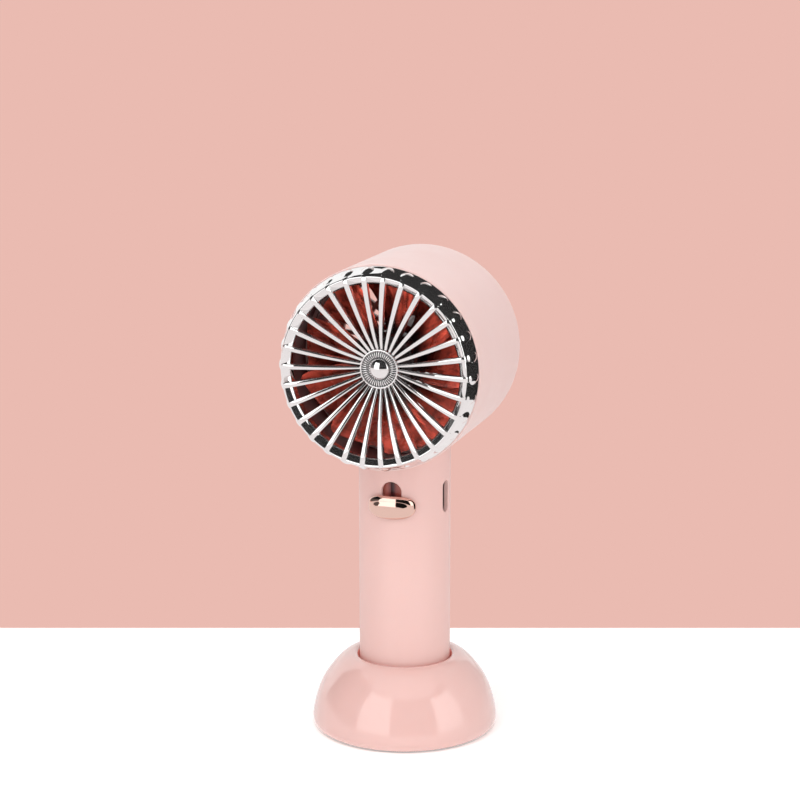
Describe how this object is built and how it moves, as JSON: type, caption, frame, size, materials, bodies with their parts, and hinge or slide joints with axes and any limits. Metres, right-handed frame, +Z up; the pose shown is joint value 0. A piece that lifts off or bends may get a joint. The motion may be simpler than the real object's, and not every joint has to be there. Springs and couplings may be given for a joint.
{
  "type": "handheld electric fan",
  "caption": "Rechargeable hand fan with a drum-shaped head, chrome radial-rib grille, thumb slider and a round handle that stands in a weighted dome base.",
  "frame": {"origin": "centre of the base's underside, on the surface it stands on", "axes": "+Z up along the handle, -Y is the way the air leaves, +X is the side with the charging socket"},
  "size_m": [0.08, 0.0794, 0.1942],
  "materials": {
    "rose": "glossy moulded rose-pink",
    "rose_satin": "satin moulded rose-pink",
    "deep_rose": "deep rose red",
    "chrome": "mirror, slightly warm",
    "steel": "bright",
    "zinc_steel": "zinc plated",
    "white_plastic": "plain",
    "dark_plastic": "plain",
    "soft_pad": "soft foam rubber",
    "bronze": "sintered",
    "magnet": "ferrite",
    "cell_wrap": "shrink wrap",
    "board": "solder mask",
    "nickel": "nickel strip",
    "wire": "silicone insulation"
  },
  "bodies": {
    "base": {"base_dome": "rose", "base_bottom_plate": "white_plastic", "base_weight": "zinc_steel", "base_foot_pad": "soft_pad", "base_screws": "steel"},
    "socket_pad": {"socket_pad": "soft_pad"},
    "fan": {"head_shell": "rose_satin", "rear_grille": "rose_satin", "front_grille": "chrome", "grille_hub_ring": "chrome", "grille_hub_cap": "chrome", "motor_mount": "deep_rose", "motor_can": "steel", "motor_end_cap": "dark_plastic", "motor_magnets": "magnet", "motor_brushes": "bronze", "motor_terminals": "bronze", "motor_bearing_front": "bronze", "motor_bearing_rear": "bronze", "motor_screws": "steel", "handle_front_shell": "rose_satin", "handle_rear_shell": "rose_satin", "handle_screws": "steel", "handle_end_cap": "rose_satin", "battery_cell": "cell_wrap", "battery_tabs": "nickel", "battery_leads": "wire", "motor_leads": "wire", "control_pcb": "board", "pcb_components": "dark_plastic", "usb_c_shell": "steel", "usb_c_tongue": "dark_plastic", "slide_switch_can": "zinc_steel"},
    "impeller": {"impeller": "deep_rose", "motor_shaft": "steel", "motor_armature": "zinc_steel"},
    "switch_knob": {"switch_knob": "chrome", "switch_carrier": "deep_rose", "switch_lever": "steel"}
  },
  "joints": [
    {"name": "socket_turn", "type": "hinge", "parent": "base", "child": "socket_pad", "pos_m": [0, 0, 0], "axis": [0, 0, 1], "continuous": true},
    {"name": "lift_out", "type": "slide", "parent": "socket_pad", "child": "fan", "axis": [0, 0, 1], "range_m": [0, 0.04]},
    {"name": "impeller_spin", "type": "hinge", "parent": "fan", "child": "impeller", "pos_m": [0, 0, 0.1542], "axis": [0, -1, 0], "continuous": true},
    {"name": "switch_slide", "type": "slide", "parent": "fan", "child": "switch_knob", "axis": [0, 0, 1], "range_m": [0, 0.006]}
  ]
}
